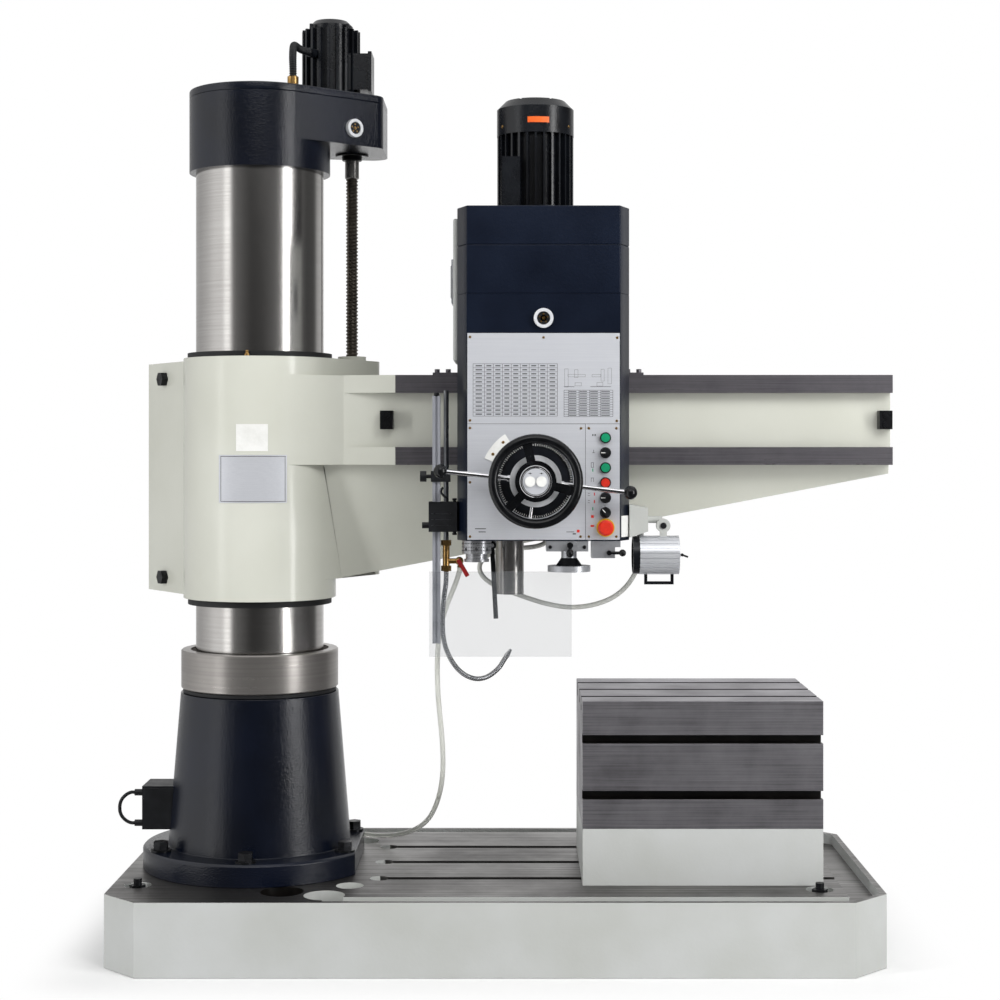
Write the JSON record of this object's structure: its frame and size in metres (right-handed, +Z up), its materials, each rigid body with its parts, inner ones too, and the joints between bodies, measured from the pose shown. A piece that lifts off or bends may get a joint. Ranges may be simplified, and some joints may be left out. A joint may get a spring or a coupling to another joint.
{
  "type": "radial arm drill",
  "caption": "Radial arm drill: a swinging column carries a lifting arm with a traversing drill head over a slotted base and box table.",
  "frame": {"origin": "on the floor, on the axis of the column", "axes": "+X along the arm at rest, +Y away from the operator, +Z up"},
  "size_m": [2.109, 1.0474, 2.542],
  "materials": {
    "base_paint": "satin off-white paint, machined top faces",
    "navy_paint": "textured dark navy paint",
    "cream_paint": "glossy cream-white paint with machined rails",
    "machined_iron": "milled grey iron, painted foot",
    "bright_steel": "turned and ground steel",
    "dark_steel": "oiled dark steel",
    "black_paint": "black paint",
    "chrome": "polished chrome",
    "aluminium": "satin aluminium",
    "brass": "plain brass",
    "black_plastic": "matte black plastic",
    "white_plastic": "white plastic",
    "green_plastic": "green plastic",
    "red_plastic": "red plastic",
    "clear_hose": "translucent plastic hose",
    "grey_hose": "light grey plastic sheath",
    "clear_sheet": "clear sheet",
    "sight_glass": "oil sight glass in a metal ring",
    "rubber": "black rubber wiper"
  },
  "bodies": {
    "base": {"base_casting": "base_paint", "pedestal": "navy_paint", "base_bolts": "black_paint", "inner_column": "dark_steel", "column_bearings": "bright_steel", "box_table": "machined_iron", "supply_box": "black_plastic", "supply_cable": "black_plastic", "coolant_pump": "black_paint", "supply_hose": "clear_hose"},
    "column": {"outer_column": "bright_steel", "column_ring": "bright_steel", "lift_housing": "navy_paint", "lift_lid": "navy_paint", "lift_sight_glass": "sight_glass", "lift_motor": "black_paint", "motor_conduit": "black_plastic"},
    "lift_screw": {"lift_screw": "dark_steel"},
    "arm": {"arm_casting": "cream_paint", "sleeve_wipers": "rubber", "arm_hardware": "black_paint", "lift_nut": "brass"},
    "head": {"head_casting": "navy_paint", "head_covers": "navy_paint", "face_plates": "aluminium", "head_sight_glass": "sight_glass", "spindle_motor": "black_paint", "motor_cowl": "black_paint", "head_gib": "dark_steel", "switch_bezels": "chrome", "hub_stem": "aluminium", "underside_boxes": "aluminium", "guard_bracket": "black_paint", "coolant_valve": "brass", "coolant_hose": "bright_steel", "lamp_bracket": "white_plastic", "lamp_conduit": "grey_hose"},
    "quill": {"quill": "bright_steel"},
    "spindle": {"spindle": "bright_steel"},
    "feed_hub": {"feed_hub": "black_paint", "feed_levers": "chrome"},
    "traverse_wheel": {"traverse_wheel": "black_plastic"},
    "clamp_button": {"clamp_button": "white_plastic"},
    "release_button": {"release_button": "white_plastic"},
    "green_button_upper": {"green_button_upper": "green_plastic"},
    "green_button_lower": {"green_button_lower": "green_plastic"},
    "red_button": {"red_button": "red_plastic"},
    "selector_top": {"selector_top": "black_plastic"},
    "selector_middle": {"selector_middle": "black_plastic"},
    "selector_lower": {"selector_lower": "black_plastic"},
    "estop_button": {"estop_button": "red_plastic"},
    "speed_dial": {"speed_dial": "bright_steel"},
    "fine_feed_wheel": {"fine_feed_wheel": "bright_steel"},
    "shift_lever": {"shift_lever": "black_plastic"},
    "spindle_lever": {"spindle_lever": "black_paint"},
    "guard": {"guard_post": "aluminium", "guard_shield": "clear_sheet"},
    "valve_handle": {"valve_handle": "red_plastic"},
    "lamp": {"lamp_body": "aluminium"},
    "lamp_switch": {"lamp_switch": "black_plastic"}
  },
  "joints": [
    {"name": "column_swing", "type": "hinge", "parent": "base", "child": "column", "pos_m": [0, 0, 0.678], "axis": [0, 0, 1], "range_deg": [-180, 180]},
    {"name": "arm_lift", "type": "slide", "parent": "column", "child": "arm", "axis": [0, 0, 1], "range_m": [-0.115, 0.465], "deforming": ["supply_hose"]},
    {"name": "lift_screw_turn", "type": "hinge", "parent": "column", "child": "lift_screw", "pos_m": [0.241, 0.154, 1.34], "axis": [0, 0, 1], "range_deg": [-16800, 4200]},
    {"name": "head_traverse", "type": "slide", "parent": "arm", "child": "head", "axis": [1, 0, 0], "range_m": [-0.17, 0.68]},
    {"name": "quill_feed", "type": "slide", "parent": "head", "child": "quill", "axis": [0, 0, -1], "range_m": [0, 0.315]},
    {"name": "spindle_turn", "type": "hinge", "parent": "quill", "child": "spindle", "pos_m": [0.691, -0.27, 0.953], "axis": [0, 0, 1], "continuous": true},
    {"name": "feed_turn", "type": "hinge", "parent": "head", "child": "feed_hub", "pos_m": [0.757, -0.437, 1.252], "axis": [0, -1, 0], "range_deg": [0, 935]},
    {"name": "traverse_turn", "type": "hinge", "parent": "head", "child": "traverse_wheel", "pos_m": [0.757, -0.542, 1.252], "axis": [0, 1, 0], "range_deg": [-620, 2460]},
    {"name": "clamp_press", "type": "slide", "parent": "head", "child": "clamp_button", "axis": [0, 1, 0], "range_m": [0, 0.004], "stiffness_N_per_m": 500, "springref_m": -0.002},
    {"name": "release_press", "type": "slide", "parent": "head", "child": "release_button", "axis": [0, 1, 0], "range_m": [0, 0.004], "stiffness_N_per_m": 500, "springref_m": -0.002},
    {"name": "green_upper_press", "type": "slide", "parent": "head", "child": "green_button_upper", "axis": [0, 1, 0], "range_m": [0, 0.003], "stiffness_N_per_m": 500, "springref_m": -0.002},
    {"name": "green_lower_press", "type": "slide", "parent": "head", "child": "green_button_lower", "axis": [0, 1, 0], "range_m": [0, 0.003], "stiffness_N_per_m": 500, "springref_m": -0.002},
    {"name": "red_press", "type": "slide", "parent": "head", "child": "red_button", "axis": [0, 1, 0], "range_m": [0, 0.003], "stiffness_N_per_m": 500, "springref_m": -0.002},
    {"name": "estop_press", "type": "slide", "parent": "head", "child": "estop_button", "axis": [0, 1, 0], "range_m": [0, 0.005], "stiffness_N_per_m": 900, "springref_m": -0.002},
    {"name": "selector_top_turn", "type": "hinge", "parent": "head", "child": "selector_top", "pos_m": [0.935, -0.44, 1.323], "axis": [0, -1, 0], "range_deg": [-45, 45]},
    {"name": "selector_middle_turn", "type": "hinge", "parent": "head", "child": "selector_middle", "pos_m": [0.935, -0.44, 1.209], "axis": [0, -1, 0], "range_deg": [-45, 45]},
    {"name": "selector_lower_turn", "type": "hinge", "parent": "head", "child": "selector_lower", "pos_m": [0.935, -0.44, 1.171], "axis": [0, -1, 0], "range_deg": [-45, 45]},
    {"name": "speed_dial_turn", "type": "hinge", "parent": "head", "child": "speed_dial", "pos_m": [0.607, -0.38, 1.08], "axis": [0, 0, 1], "continuous": true},
    {"name": "fine_feed_turn", "type": "hinge", "parent": "head", "child": "fine_feed_wheel", "pos_m": [0.844, -0.38, 1.05], "axis": [0, 0, 1], "continuous": true},
    {"name": "shift_lever_swing", "type": "hinge", "parent": "head", "child": "shift_lever", "pos_m": [0.944, -0.42, 1.069], "axis": [0, -1, 0], "range_deg": [-25, 25]},
    {"name": "spindle_lever_swing", "type": "hinge", "parent": "head", "child": "spindle_lever", "pos_m": [0.646, -0.334, 1.083], "axis": [0, -1, 0], "range_deg": [-20, 20]},
    {"name": "guard_slide", "type": "slide", "parent": "head", "child": "guard", "axis": [0, 0, -1], "range_m": [0, 0.2]},
    {"name": "valve_turn", "type": "hinge", "parent": "head", "child": "valve_handle", "pos_m": [0.562, -0.372, 1.044], "axis": [0, -1, 0], "range_deg": [-90, 0]},
    {"name": "lamp_tilt", "type": "hinge", "parent": "head", "child": "lamp", "pos_m": [1.088, -0.35, 1.135], "axis": [0, -1, 0], "range_deg": [0, 60]},
    {"name": "lamp_switch_flip", "type": "hinge", "parent": "lamp", "child": "lamp_switch", "pos_m": [1.1374, -0.35, 1.059], "axis": [0, 1, 0], "range_deg": [-40, 0]}
  ],
  "couplings": [
    {"joint": "lift_screw_turn", "follows": "arm_lift", "rad_per_m": -628.32},
    {"joint": "feed_turn", "follows": "quill_feed", "rad_per_m": 51.502},
    {"joint": "traverse_turn", "follows": "head_traverse", "rad_per_m": 62.832}
  ]
}
